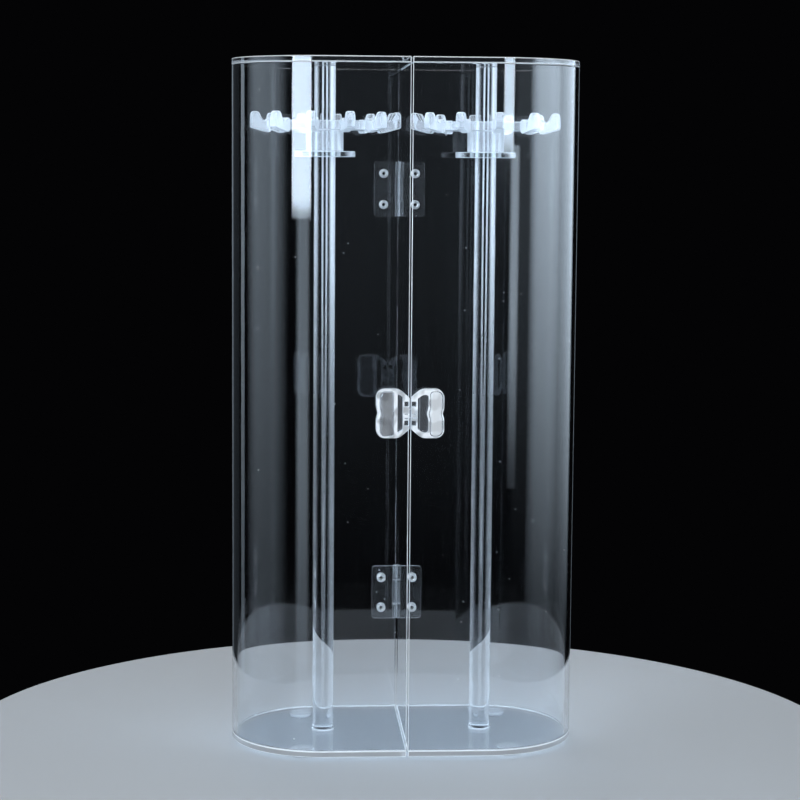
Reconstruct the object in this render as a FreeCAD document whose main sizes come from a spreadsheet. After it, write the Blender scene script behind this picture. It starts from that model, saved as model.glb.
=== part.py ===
import FreeCAD, Part
import math
import os

import Sketcher

# Clear acrylic jewelry cabinet, in millimetres.
#
# The plan is a stadium, cut at its middle into two D-shaped halves that open like a book.
# The halves are hinged at the back and clasped at the front.
# Each half has a floor, a lid, a bent wall, a post, and a disc of hooks that turns on the post.
# The origin is the middle of the closed case's footprint, on the surface it stands on.
# +X points to the right half, +Y to the hinges at the back, and +Z up.

doc = FreeCAD.newDocument("jewelry_cabinet")

# Driving dimensions. Each one is a cell of the sheet, and every sub-part is bound to these cells.
DRIVING = {
    "case_width": (172, "closed case, end to end"),
    "case_depth": (92, "front face to back face, also the width of each round end"),
    "case_height": (340, "bottom of the floor to top of the lid"),
    "plate_thickness": (3, "floor and lid sheet"),
    "wall_thickness": (2.5, "bent wall sheet"),
    "seam_gap": (0.8, "slit between the two closed halves"),
    "plate_edge_break": (0.4, "polished edge of floor and lid"),
    "foot_height": (2, "bumper foot under the floor"),
    "foot_diameter": (11.5, "bumper foot"),
    "foot_rounding": (0.7, "lower edge of the foot"),
    "foot_from_post": (11, "foot centre beyond the post, towards the round end"),
    "foot_from_face": (12, "foot centre in from the flat front or back face"),
    "post_diameter": (10.5, "solid rod"),
    "cement_width": (0.45, "how far the ring of cement stands out from the rod"),
    "cement_height": (1.6, "how far the ring of cement climbs the rod"),
    "stopper_diameter": (30, "fixed disc that carries the hook disc"),
    "stopper_thickness": (2.8, "fixed disc"),
    "stopper_drop": (44.9, "top of the lid down to the top of the stopper disc"),
    "running_clearance": (0.08, "radial play of a turning piece on its post or pin"),
    "disc_seat_gap": (0.15, "hook disc above the stopper disc"),
    "hub_diameter": (18.4, "hub under the hook disc"),
    "hub_height": (10.3, "hub under the hook disc"),
    "disc_diameter": (56, "flat middle of the hook disc"),
    "disc_thickness": (4.4, "flat middle of the hook disc"),
    "hook_count": (12, "hooks on one disc"),
    "hook_width": (4.2, "hook, along the rim"),
    "hook_reach": (37.8, "post centre to the outside of a hook"),
    "hook_tip_thickness": (3.9, "upturned tip, along the radius"),
    "hook_tip_height": (4.2, "top of the tip above the disc"),
    "hook_tip_chamfer": (0.8, "corners of the tip"),
    "hook_tip_draft": (0.6, "how much the tip widens towards its foot"),
    "hook_valley_radius": (31.1, "lowest point of the notch behind a hook's tip"),
    "hook_valley_depth": (0.5, "notch below the top of the disc"),
    "hook_shoulder_radius": (28.8, "inner side of the notch"),
    "hook_shoulder_height": (1.2, "inner side of the notch above the disc"),
    "hook_belly_radius": (29, "lowest point of the hook's underside"),
    "hook_belly_drop": (1.5, "underside below the disc"),
    "hook_root_radius": (24, "where the hook grows out of the disc"),
    "hook_outer_lift": (0.9, "outer end of the underside above the disc's"),
    "left_disc_angle": (18, "a hook of the left disc from the X axis, degrees"),
    "right_disc_angle": (4.5, "a hook of the right disc from the X axis, degrees"),
    "hinge_height": (28, "one hinge"),
    "hinge_from_end": (64, "end of the case to the middle of a hinge"),
    "leaf_reach": (13, "pin axis to the leaf's outer edge"),
    "leaf_thickness": (1.6, "hinge leaf"),
    "leaf_corner": (1.8, "round corners of the leaf"),
    "knuckle_diameter": (4, "barrel around the pin"),
    "knuckle_gap": (0.3, "between two knuckles"),
    "middle_knuckle": (12.6, "height of the middle knuckle"),
    "pin_offset": (2.2, "pin axis behind the back face"),
    "pin_diameter": (1.6, "hinge pin"),
    "rivet_from_seam": (8.2, "rivet centre from the middle of the case"),
    "rivet_pitch": (16, "upper to lower rivet of a hinge"),
    "rivet_shank": (2.8, "rivet tube, outside"),
    "rivet_bore": (1.7, "rivet tube, inside"),
    "rivet_head": (4.6, "rolled rim at both ends"),
    "rivet_rim": (0.45, "thickness of a rolled rim"),
    "wing_reach": (16.4, "seam to the outer edge of the clasp"),
    "wing_height": (23.6, "clasp at its wings"),
    "wing_depth": (6, "clasp, off the front face"),
    "wing_shoulder": (5.4, "seam to where the wing is at full height"),
    "wing_notch": (0.9, "dip between the two lobes of a wing's edge"),
    "wing_lobe_gap": (3, "from mid height to the full width of a lobe"),
    "wing_corner": (4.2, "round outer corners of the wing"),
    "wing_rim": (2.5, "edge left above and below the finger recess"),
    "wing_pad": (6.8, "raised outer pad of the wing"),
    "wing_floor": (2, "clasp wall under the finger recess"),
    "knot_height": (15, "middle block of the clasp"),
    "knot_reach": (3.4, "seam to the side of the middle block"),
    "knot_depth": (5, "middle block, off the front face"),
    "knot_window_low": (3.2, "mid height to the near edge of a window"),
    "knot_window_high": (6, "mid height to the far edge of a window"),
    "knot_window_depth": (2.5, "window in the middle block"),
    "knot_frame": (0.5, "edge left beside a window"),
    "tongue_reach": (2.9, "tongue past the seam"),
    "tongue_root": (2, "tongue inside the left block"),
    "tongue_width": (4, "tongue, along the seam"),
    "tongue_thickness": (1.6, "tongue"),
    "tongue_from_face": (1.6, "tongue off the front face"),
    "tongue_clearance": (0.3, "play of the tongue in its socket"),
}

# Sizes that follow from the driving ones.
DERIVED = {
    "end_radius": "case_depth / 2",
    "post_offset": "case_width / 2 - end_radius",
    "floor_top": "foot_height + plate_thickness",
    "case_top": "foot_height + case_height",
    "lid_bottom": "case_top - plate_thickness",
    "case_middle": "foot_height + case_height / 2",
    "stopper_top": "case_top - stopper_drop",
    "hub_bottom": "stopper_top + disc_seat_gap",
    "disc_bottom": "hub_bottom + hub_height",
    "disc_top": "disc_bottom + disc_thickness",
    "hook_top": "disc_top + hook_tip_height",
    "turning_bore": "post_diameter + 2 * running_clearance",
    "lower_hinge_middle": "foot_height + hinge_from_end",
    "upper_hinge_middle": "case_top - hinge_from_end",
    "outer_knuckle": "(hinge_height - middle_knuckle) / 2 - knuckle_gap",
    "pin_y": "end_radius + pin_offset",
    "leaf_inner_edge": "knuckle_diameter / 2 + knuckle_gap",
    "rivet_grip": "wall_thickness + leaf_thickness",
    "wing_pad_inner": "wing_reach - wing_pad",
}

SIDES = {"left": -1, "right": 1}
HINGES = ("upper", "lower")
ENDS_OF_CASE = {"front": -1, "back": 1}
ROWS = {"top": 1, "bottom": -1}
PLATES = {"bottom": ("foot_height", "foot_height"), "top": ("lid_bottom", "case_top")}

sheet = doc.addObject("Spreadsheet::Sheet", "dim")
for row, (name, (value, meaning)) in enumerate(DRIVING.items(), start=1):
    sheet.set(f"A{row}", name)
    sheet.set(f"B{row}", str(value))
    sheet.set(f"C{row}", meaning)
    sheet.setAlias(f"B{row}", name)
for row, (name, formula) in enumerate(DERIVED.items(), start=len(DRIVING) + 1):
    sheet.set(f"A{row}", name)
    sheet.set(f"B{row}", f"={formula}")
    sheet.setAlias(f"B{row}", name)
doc.recompute()


def number(formula):
    """Value of a formula on the sheet's cells."""
    return float(sheet.evalExpression(str(formula)))


def at(x, y):
    """Point of a sketch, given by two formulas."""
    return FreeCAD.Vector(number(x), number(y), 0)


def new_body(name):
    """Sub-part that is made by features; its label names its file."""
    body = doc.addObject("PartDesign::Body", name)
    body.Label = name
    return body


def new_sketch(body, name, plane, offset="0"):
    """Sketch on one of the body's own planes, moved along that plane's normal."""
    sketch = body.newObject("Sketcher::SketchObject", name)
    support = next(item for item in body.Origin.OriginFeatures if item.Role == plane)
    sketch.AttachmentSupport = [(support, "")]
    sketch.MapMode = "FlatFace"
    sketch.setExpression("AttachmentOffset.Base.z", str(offset))
    return sketch


def bind(sketch, kind, references, formula):
    """Constraint whose value is a formula on the sheet's cells."""
    index = sketch.addConstraint(Sketcher.Constraint(kind, *references, number(formula)))
    sketch.setExpression(f"Constraints[{index}]", str(formula))


def pin_point(sketch, item, end, x, y):
    """Hold one end of a sketch line, or the centre of an arc, at two formulas."""
    bind(sketch, "DistanceX", (-1, 1, item, end), x)
    bind(sketch, "DistanceY", (-1, 1, item, end), y)


def draw_outline(sketch, corners):
    """Closed outline of straight sides through corners, each a pair of formulas."""
    first = sketch.GeometryCount
    count = len(corners)
    for index, corner in enumerate(corners):
        following = corners[(index + 1) % count]
        sketch.addGeometry(Part.LineSegment(at(*corner), at(*following)))
    for index, corner in enumerate(corners):
        joined = (first + index, 2, first + (index + 1) % count, 1)
        sketch.addConstraint(Sketcher.Constraint("Coincident", *joined))
        pin_point(sketch, first + index, 1, *corner)


def draw_rectangle(sketch, x_low, x_high, y_low, y_high):
    """Rectangle between four formulas."""
    draw_outline(sketch, [(x_low, y_low), (x_high, y_low), (x_high, y_high), (x_low, y_high)])


def draw_circle(sketch, x, y, diameter):
    """Circle at a place given by formulas."""
    circle = Part.Circle(at(x, y), FreeCAD.Vector(0, 0, 1), number(diameter) / 2)
    item = sketch.addGeometry(circle)
    bind(sketch, "Diameter", (item,), diameter)
    pin_point(sketch, item, 3, x, y)


def draw_half_plan(sketch, side, seam, radius):
    """D-shaped plan: straight from the seam to the post's line, then a half circle round the post."""
    turn = SIDES[side]
    seam_x = f"{turn} * ({seam})"
    post_x = f"{turn} * dim.post_offset"
    front = f"-({radius})"
    start = -math.pi / 2 if turn > 0 else math.pi / 2
    circle = Part.Circle(at(post_x, 0), FreeCAD.Vector(0, 0, 1), number(radius))
    sketch.addGeometry(Part.LineSegment(at(seam_x, front), at(post_x, front)))
    sketch.addGeometry(Part.ArcOfCircle(circle, start, start + math.pi))
    sketch.addGeometry(Part.LineSegment(at(post_x, radius), at(seam_x, radius)))
    sketch.addGeometry(Part.LineSegment(at(seam_x, radius), at(seam_x, front)))
    front_end, back_end = (1, 2) if turn > 0 else (2, 1)
    for joined in ((0, 2, 1, front_end), (1, back_end, 2, 1), (2, 2, 3, 1), (3, 2, 0, 1)):
        sketch.addConstraint(Sketcher.Constraint("Coincident", *joined))
    pin_point(sketch, 0, 1, seam_x, front)
    pin_point(sketch, 0, 2, post_x, front)
    pin_point(sketch, 2, 1, post_x, radius)
    pin_point(sketch, 2, 2, seam_x, radius)
    bind(sketch, "DistanceX", (-1, 1, 1, 3), post_x)


def pad(body, name, sketch, length, backwards=False, both_ways=False):
    """Solid grown from a sketch along its normal, or against it."""
    feature = body.newObject("PartDesign::Pad", name)
    feature.Profile = sketch
    feature.setExpression("Length", length)
    feature.Reversed = backwards
    feature.Midplane = both_ways
    return feature


def pocket(body, name, sketch, length=None, forwards=False):
    """Cut from a sketch against its normal, or along it; through everything when no length is given."""
    feature = body.newObject("PartDesign::Pocket", name)
    feature.Profile = sketch
    if length is None:
        feature.Type = "ThroughAll"
    else:
        feature.setExpression("Length", length)
    feature.Reversed = forwards
    return feature


def revolve(body, name, sketch):
    """Solid of revolution about the sketch's upright axis."""
    feature = body.newObject("PartDesign::Revolution", name)
    feature.Profile = sketch
    feature.ReferenceAxis = (sketch, ["V_Axis"])
    feature.Angle = 360
    return feature


def edges_where(feature, test):
    """Names of the edges whose middle point and direction pass a test."""
    doc.recompute()
    names = []
    for index, edge in enumerate(feature.Shape.Edges, start=1):
        if test(edge):
            names.append(f"Edge{index}")
    return names


def dress_edges(body, kind, name, feature, test, size):
    """Fillet or chamfer on the edges that pass a test."""
    names = edges_where(feature, test)
    dressed = body.newObject(f"PartDesign::{kind}", name)
    dressed.Base = (feature, names)
    dressed.setExpression("Radius" if kind == "Fillet" else "Size", size)
    return dressed


def place(body, x="0", y="0", z="0"):
    """Put a body where three formulas say."""
    for axis, formula in (("x", x), ("y", y), ("z", z)):
        body.setExpression(f"Placement.Base.{axis}", str(formula))


def is_level(edge):
    """Edge that lies in one horizontal plane."""
    return edge.BoundBox.ZLength < 1e-6


def lies_at(edge, height):
    """Edge that lies in the horizontal plane at a height."""
    return is_level(edge) and abs(edge.BoundBox.ZMin - height) < 1e-6


# Case


def make_wall(side):
    """Wall of one half: a sheet bent round the post, open at the seam, with the rivet holes."""
    turn = SIDES[side]
    body = new_body(f"{side}_wall")
    outside = new_sketch(body, f"{side}_wall_outside", "XY_Plane", "dim.floor_top")
    draw_half_plan(outside, side, "dim.seam_gap / 2", "dim.end_radius")
    pad(body, f"{side}_wall_block", outside, "dim.lid_bottom - dim.floor_top")
    inside = new_sketch(body, f"{side}_wall_inside", "XY_Plane", "dim.lid_bottom")
    draw_half_plan(inside, side, "-dim.wall_thickness", "dim.end_radius - dim.wall_thickness")
    pocket(body, f"{side}_wall_hollow", inside)
    holes = new_sketch(body, f"{side}_wall_rivet_places", "XZ_Plane", "-dim.end_radius")
    for hinge in HINGES:
        for row in ROWS.values():
            across = f"{turn} * dim.rivet_from_seam"
            up = f"dim.{hinge}_hinge_middle + {row} * dim.rivet_pitch / 2"
            draw_circle(holes, across, up, "dim.rivet_shank")
    pocket(body, f"{side}_wall_rivet_holes", holes, "dim.wall_thickness", forwards=True)
    return body


def make_plate(side, level):
    """Floor or lid of one half, flush with the wall, its outer edge broken."""
    body = new_body(f"{side}_{level}_plate")
    low, outer_face = PLATES[level]
    plan = new_sketch(body, f"{side}_{level}_plan", "XY_Plane", f"dim.{low}")
    draw_half_plan(plan, side, "dim.seam_gap / 2", "dim.end_radius")
    sheet_of_plate = pad(body, f"{side}_{level}_sheet", plan, "dim.plate_thickness")
    height = number(outer_face)
    dress_edges(
        body,
        "Chamfer",
        f"{side}_{level}_edge",
        sheet_of_plate,
        lambda edge: lies_at(edge, height),
        "dim.plate_edge_break",
    )
    return body


def make_foot(side, end):
    """Bumper foot under the floor."""
    body = new_body(f"{side}_{end}_foot")
    ring = new_sketch(body, f"{side}_{end}_foot_plan", "XY_Plane")
    draw_circle(ring, "0", "0", "dim.foot_diameter")
    block = pad(body, f"{side}_{end}_foot_block", ring, "dim.foot_height")
    dress_edges(
        body,
        "Fillet",
        f"{side}_{end}_foot_edge",
        block,
        lambda edge: lies_at(edge, 0),
        "dim.foot_rounding",
    )
    across = f"{SIDES[side]} * (dim.post_offset + dim.foot_from_post)"
    back = f"{ENDS_OF_CASE[end]} * (dim.end_radius - dim.foot_from_face)"
    place(body, across, back)
    return body


# Posts and discs


def make_post(side):
    """Rod from floor to lid, with a ring of cement at its foot."""
    body = new_body(f"{side}_post")
    profile = new_sketch(body, f"{side}_post_profile", "XZ_Plane")
    radius = "dim.post_diameter / 2"
    corners = [
        ("0", "dim.floor_top"),
        (f"{radius} + dim.cement_width", "dim.floor_top"),
        (f"{radius} + dim.cement_width", "dim.floor_top + dim.cement_height / 2"),
        (radius, "dim.floor_top + dim.cement_height"),
        (radius, "dim.lid_bottom"),
        ("0", "dim.lid_bottom"),
    ]
    draw_outline(profile, corners)
    revolve(body, f"{side}_post_rod", profile)
    place(body, f"{SIDES[side]} * dim.post_offset")
    return body


def make_stopper_disc(side):
    """Fixed disc on the post that the hook disc turns on."""
    body = new_body(f"{side}_stopper_disc")
    plan = new_sketch(body, f"{side}_stopper_plan", "XY_Plane", "dim.stopper_top")
    draw_circle(plan, "0", "0", "dim.stopper_diameter")
    draw_circle(plan, "0", "0", "dim.post_diameter")
    pad(body, f"{side}_stopper_sheet", plan, "dim.stopper_thickness", backwards=True)
    place(body, f"{SIDES[side]} * dim.post_offset")
    return body


def make_hook_disc(side):
    """Moulded disc that turns on the post: a hub, a flat middle and a ring of upturned hooks."""
    body = new_body(f"{side}_hook_disc")
    hub = new_sketch(body, f"{side}_hub_plan", "XY_Plane", "dim.hub_bottom")
    draw_circle(hub, "0", "0", "dim.hub_diameter")
    pad(body, f"{side}_hub", hub, "dim.hub_height")
    middle = new_sketch(body, f"{side}_middle_plan", "XY_Plane", "dim.disc_bottom")
    draw_circle(middle, "0", "0", "dim.disc_diameter")
    pad(body, f"{side}_middle", middle, "dim.disc_thickness")
    profile = new_sketch(body, f"{side}_hook_profile", "XZ_Plane")
    tip_inside = "dim.hook_reach - dim.hook_tip_thickness"
    corners = [
        ("dim.hook_root_radius", "dim.disc_bottom"),
        ("dim.hook_belly_radius", "dim.disc_bottom - dim.hook_belly_drop"),
        ("dim.hook_reach", "dim.disc_bottom + dim.hook_outer_lift"),
        ("dim.hook_reach", "dim.hook_top - dim.hook_tip_chamfer"),
        ("dim.hook_reach - dim.hook_tip_chamfer", "dim.hook_top"),
        (f"{tip_inside} + dim.hook_tip_chamfer", "dim.hook_top"),
        (tip_inside, "dim.hook_top - dim.hook_tip_chamfer"),
        (f"{tip_inside} - dim.hook_tip_draft", "(dim.disc_top + dim.hook_top) / 2"),
        ("dim.hook_valley_radius", "dim.disc_top - dim.hook_valley_depth"),
        ("dim.hook_shoulder_radius", "dim.disc_top + dim.hook_shoulder_height"),
        ("(dim.hook_root_radius + dim.hook_shoulder_radius) / 2", "dim.disc_top"),
        ("dim.hook_root_radius", "dim.disc_top"),
    ]
    draw_outline(profile, corners)
    hook = pad(body, f"{side}_hook", profile, "dim.hook_width", both_ways=True)
    bore = new_sketch(body, f"{side}_bore_plan", "XY_Plane", "dim.disc_top")
    doc.recompute()
    ring = body.newObject("PartDesign::PolarPattern", f"{side}_hook_ring")
    ring.Originals = [hook]
    axis = next(item for item in body.Origin.OriginFeatures if item.Role == "Z_Axis")
    ring.Axis = (axis, [""])
    ring.Angle = 360
    ring.setExpression("Occurrences", "dim.hook_count")
    body.Tip = ring
    draw_circle(bore, "0", "0", "dim.turning_bore")
    pocket(body, f"{side}_bore", bore)
    place(body, f"{SIDES[side]} * dim.post_offset")
    body.setExpression("Placement.Rotation.Angle", f"dim.{side}_disc_angle")
    return body


# Hinges


def make_leaf(hinge, side):
    """Hinge leaf on the back face. The left leaf has the outer knuckles, the right the middle one."""
    turn = SIDES[side]
    name = f"{hinge}_hinge_{side}_leaf"
    middle = f"dim.{hinge}_hinge_middle"
    bottom = f"{middle} - dim.hinge_height / 2"
    body = new_body(name)
    face = new_sketch(body, f"{name}_face", "XZ_Plane", "-dim.end_radius")
    inner, outer = f"{turn} * dim.leaf_inner_edge", f"{turn} * dim.leaf_reach"
    draw_rectangle(face, inner, outer, bottom, f"{middle} + dim.hinge_height / 2")
    plate = pad(body, f"{name}_plate", face, "dim.leaf_thickness", backwards=True)
    edge_x = number("dim.leaf_reach")
    dress_edges(
        body,
        "Fillet",
        f"{name}_corners",
        plate,
        lambda edge: edge.BoundBox.YLength > 1e-3 and abs(edge.BoundBox.Center.x) > edge_x - 1e-3,
        "dim.leaf_corner",
    )
    if side == "left":
        top_knuckle = f"{middle} + dim.hinge_height / 2 - dim.outer_knuckle"
        knuckles = [(bottom, "dim.outer_knuckle"), (top_knuckle, "dim.outer_knuckle")]
        bore = "dim.pin_diameter"
    else:
        knuckles = [(f"{middle} - dim.middle_knuckle / 2", "dim.middle_knuckle")]
        bore = "dim.pin_diameter + 2 * dim.running_clearance"
    knuckle_front = "dim.pin_y - dim.knuckle_diameter / 2"
    leaf_back = "dim.end_radius + dim.leaf_thickness"
    for index, (low, height) in enumerate(knuckles):
        web = new_sketch(body, f"{name}_web_{index}", "XY_Plane", low)
        draw_rectangle(web, "0", f"{inner} + {turn} * dim.knuckle_gap", knuckle_front, leaf_back)
        pad(body, f"{name}_web_pad_{index}", web, height)
        barrel = new_sketch(body, f"{name}_barrel_{index}", "XY_Plane", low)
        draw_circle(barrel, "0", "dim.pin_y", "dim.knuckle_diameter")
        pad(body, f"{name}_barrel_pad_{index}", barrel, height)
    eye = new_sketch(body, f"{name}_eye", "XY_Plane", f"{middle} + dim.hinge_height / 2")
    draw_circle(eye, "0", "dim.pin_y", bore)
    pocket(body, f"{name}_pin_bore", eye)
    holes = new_sketch(body, f"{name}_rivet_places", "XZ_Plane", "-dim.end_radius")
    for row in ROWS.values():
        up = f"{middle} + {row} * dim.rivet_pitch / 2"
        draw_circle(holes, f"{turn} * dim.rivet_from_seam", up, "dim.rivet_shank")
    pocket(body, f"{name}_rivet_holes", holes, "dim.leaf_thickness")
    return body


def make_pin(hinge):
    """Steel pin, held by the left leaf's knuckles."""
    name = f"{hinge}_hinge_pin"
    body = new_body(name)
    end = new_sketch(body, f"{name}_end", "XY_Plane")
    draw_circle(end, "0", "0", "dim.pin_diameter")
    pad(body, f"{name}_rod", end, "dim.hinge_height")
    place(body, "0", "dim.pin_y", f"dim.{hinge}_hinge_middle - dim.hinge_height / 2")
    return body


def make_rivet(hinge, side, row):
    """Hollow rivet through wall and leaf, its rims rolled over at both ends."""
    name = f"{hinge}_hinge_{side}_{row}_rivet"
    body = new_body(name)
    profile = new_sketch(body, f"{name}_profile", "XZ_Plane")
    shank, bore, rim = "dim.rivet_shank / 2", "dim.rivet_bore / 2", "dim.rivet_head / 2"
    slope = f"{rim} - dim.rivet_rim / 2"
    corners = [
        (bore, "-dim.rivet_rim"),
        (slope, "-dim.rivet_rim"),
        (rim, "0"),
        (shank, "0"),
        (shank, "dim.rivet_grip"),
        (rim, "dim.rivet_grip"),
        (slope, "dim.rivet_grip + dim.rivet_rim"),
        (bore, "dim.rivet_grip + dim.rivet_rim"),
    ]
    draw_outline(profile, corners)
    revolve(body, f"{name}_tube", profile)
    body.Placement = FreeCAD.Placement(FreeCAD.Vector(), FreeCAD.Rotation(FreeCAD.Vector(1, 0, 0), -90))
    place(
        body,
        f"{SIDES[side]} * dim.rivet_from_seam",
        "dim.end_radius - dim.wall_thickness",
        f"dim.{hinge}_hinge_middle + {ROWS[row]} * dim.rivet_pitch / 2",
    )
    return body


# Clasp


def make_wing(side):
    """One wing of the bow-shaped clasp, with its half of the middle block."""
    turn = SIDES[side]
    name = f"{side}_clasp_wing"
    middle, half_height = "dim.case_middle", "dim.wing_height / 2"
    body = new_body(name)

    def across(formula):
        return f"{turn} * ({formula})"

    def mirrored(points):
        """Points above mid height, then the same points below it, as one round outline."""
        upper = [(across(x), f"{middle} + ({up})") for x, up in points]
        lower = [(across(x), f"{middle} - ({up})") for x, up in reversed(points)]
        return upper + lower

    def with_dip(points, dip):
        """Mirrored outline with one more corner at mid height, where the two lobes meet."""
        outline = mirrored(points)
        outline.insert(len(points), (across(dip), middle))
        return outline

    face = new_sketch(body, f"{name}_face", "XZ_Plane", "dim.end_radius")
    outline = with_dip(
        [
            ("dim.seam_gap / 2", "dim.knot_height / 2"),
            ("dim.wing_shoulder", half_height),
            ("dim.wing_reach", half_height),
            ("dim.wing_reach", "dim.wing_lobe_gap"),
        ],
        "dim.wing_reach - dim.wing_notch",
    )
    draw_outline(face, outline)
    block = pad(body, f"{name}_block", face, "dim.wing_depth")
    reach, height = number("dim.wing_reach"), number("dim.wing_height / 2")
    mid = number("dim.case_middle")
    dress_edges(
        body,
        "Fillet",
        f"{name}_corners",
        block,
        lambda edge: edge.BoundBox.YLength > 1e-3
        and abs(abs(edge.BoundBox.Center.x) - reach) < 1e-3
        and abs(abs(edge.BoundBox.Center.z - mid) - height) < 1e-3,
        "dim.wing_corner",
    )
    front = "dim.end_radius + dim.wing_depth"
    step = new_sketch(body, f"{name}_knot_step", "XZ_Plane", front)
    knot_half = "dim.knot_height / 2"
    draw_rectangle(
        step,
        across("0"),
        across("dim.knot_reach"),
        f"{middle} - {half_height}",
        f"{middle} + {half_height}",
    )
    pocket(body, f"{name}_knot_face", step, "dim.wing_depth - dim.knot_depth")
    recess = new_sketch(body, f"{name}_recess_plan", "XZ_Plane", front)
    recess_half = f"{half_height} - dim.wing_rim"
    inner_lobe = "dim.wing_pad_inner"
    plan = with_dip(
        [
            ("dim.knot_reach + dim.knot_frame", f"{knot_half} - dim.knot_frame"),
            ("dim.wing_shoulder", recess_half),
            (inner_lobe, recess_half),
            (inner_lobe, "dim.wing_lobe_gap"),
        ],
        f"{inner_lobe} - dim.wing_notch",
    )
    draw_outline(recess, plan)
    pocket(body, f"{name}_recess", recess, "dim.wing_depth - dim.wing_floor")
    knot_front = "dim.end_radius + dim.knot_depth"
    for level, up in ROWS.items():
        window = new_sketch(body, f"{name}_{level}_window_plan", "XZ_Plane", knot_front)
        draw_rectangle(
            window,
            across("dim.seam_gap / 2 + dim.knot_frame"),
            across("dim.knot_reach - dim.knot_frame"),
            f"{middle} + {up} * dim.knot_window_low",
            f"{middle} + {up} * dim.knot_window_high",
        )
        pocket(body, f"{name}_{level}_window", window, "dim.knot_window_depth")
    return body


def add_tongue(body):
    """Tongue that crosses the seam from the left wing."""
    start = "dim.end_radius + dim.tongue_from_face"
    plan = new_sketch(body, "tongue_plan", "XZ_Plane", start)
    half_width = "dim.tongue_width / 2"
    middle = "dim.case_middle"
    low, high = f"{middle} - {half_width}", f"{middle} + {half_width}"
    draw_rectangle(plan, "-dim.tongue_root", "dim.tongue_reach", low, high)
    pad(body, "tongue", plan, "dim.tongue_thickness")


def add_socket(body):
    """Socket in the right wing that takes the tongue."""
    play = "dim.tongue_clearance"
    start = f"dim.end_radius + dim.tongue_from_face - {play}"
    plan = new_sketch(body, "socket_plan", "XZ_Plane", start)
    half_width = f"dim.tongue_width / 2 + {play}"
    middle = "dim.case_middle"
    low, high = f"{middle} - ({half_width})", f"{middle} + {half_width}"
    draw_rectangle(plan, "0", f"dim.tongue_reach + {play}", low, high)
    pocket(body, "socket", plan, f"dim.tongue_thickness + 2 * {play}", forwards=True)


def make_everything():
    """All sub-parts, half by half and hinge by hinge."""
    bodies = []
    for side in SIDES:
        bodies.append(make_wall(side))
        bodies.append(make_plate(side, "top"))
        bodies.append(make_plate(side, "bottom"))
        for end in ENDS_OF_CASE:
            bodies.append(make_foot(side, end))
        bodies.append(make_post(side))
        bodies.append(make_stopper_disc(side))
        bodies.append(make_hook_disc(side))
        wing = make_wing(side)
        if side == "left":
            add_tongue(wing)
        else:
            add_socket(wing)
        bodies.append(wing)
    for hinge in HINGES:
        bodies.append(make_pin(hinge))
        for side in SIDES:
            bodies.append(make_leaf(hinge, side))
            for row in ROWS:
                bodies.append(make_rivet(hinge, side, row))
    return bodies


def check_document(bodies):
    """Stop at a feature that failed, a cut that cut nothing, or a sub-part that isn't one good solid."""
    doc.recompute()
    for item in doc.Objects:
        if "Invalid" in item.State or "Error" in item.State:
            raise ValueError(f"{item.Name} failed: {item.State}")
        if item.TypeId == "PartDesign::Pocket":
            before, after = item.BaseFeature.Shape.Volume, item.Shape.Volume
            if after > before - 1e-6:
                raise ValueError(f"{item.Name} cuts nothing")
    for body in bodies:
        shape = body.Shape
        if shape.isNull() or not shape.isValid() or len(shape.Solids) != 1:
            raise ValueError(f"{body.Label} isn't one valid solid")


sub_parts = make_everything()
check_document(sub_parts)
os.makedirs("parts", exist_ok=True)
for sub_part in sub_parts:
    sub_part.Shape.exportStep(f"parts/{sub_part.Label}.step")
    print(f"{sub_part.Label}: {sub_part.Shape.Volume / 1000:.2f} cm3")
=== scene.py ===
# %% [markdown]
# # A tall clear case in two halves
#
# The case is made of clear acrylic: sheet for its walls, floor and lid, solid rod for its two posts, and
# moulded pieces for the hooks, the hinges and the clasp. A fixed frame of solids gives the places and the
# main sizes, and the finer sizes are named beside the piece that needs them. This lesson builds the looks
# around that frame, one piece at a time, and each new piece takes the place of the solid that it stands
# for. Lengths are in metres, apart from the few lists of points that say millimetres.

import math

import bmesh
import bpy
from mathutils import Matrix, Vector


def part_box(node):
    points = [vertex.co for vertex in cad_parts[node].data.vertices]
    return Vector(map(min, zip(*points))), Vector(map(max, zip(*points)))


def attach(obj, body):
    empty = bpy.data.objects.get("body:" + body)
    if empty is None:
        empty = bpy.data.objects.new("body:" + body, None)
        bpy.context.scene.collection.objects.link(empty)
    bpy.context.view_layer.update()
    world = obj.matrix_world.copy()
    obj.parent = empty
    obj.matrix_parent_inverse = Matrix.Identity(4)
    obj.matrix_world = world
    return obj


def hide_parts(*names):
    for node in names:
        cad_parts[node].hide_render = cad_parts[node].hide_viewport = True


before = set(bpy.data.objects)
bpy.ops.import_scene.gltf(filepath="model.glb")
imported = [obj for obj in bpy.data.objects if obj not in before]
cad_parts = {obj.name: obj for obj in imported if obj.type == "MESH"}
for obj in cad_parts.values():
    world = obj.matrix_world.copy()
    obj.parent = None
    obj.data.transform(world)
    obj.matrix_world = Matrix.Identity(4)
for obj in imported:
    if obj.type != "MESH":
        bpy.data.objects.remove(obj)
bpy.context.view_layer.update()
scene = bpy.context.scene
MM = 0.001

# %% [markdown]
# ## Camera
#
# The camera stands a little to the left of the case and looks slightly down on it. Its place, its turns
# and its lens were worked out from where the case's corners fall on the picture, and a plain
# `Matrix.Rotation` per turn keeps each of them readable.

# %% Camera
CAMERA_PLACE = Vector((-72.05, -1082.04, 293.38)) * MM
CAMERA_YAW = math.radians(3.717)
CAMERA_PITCH = math.radians(6.331)
CAMERA_ROLL = math.radians(0.426)
CAMERA_LENS = 97.65

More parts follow.
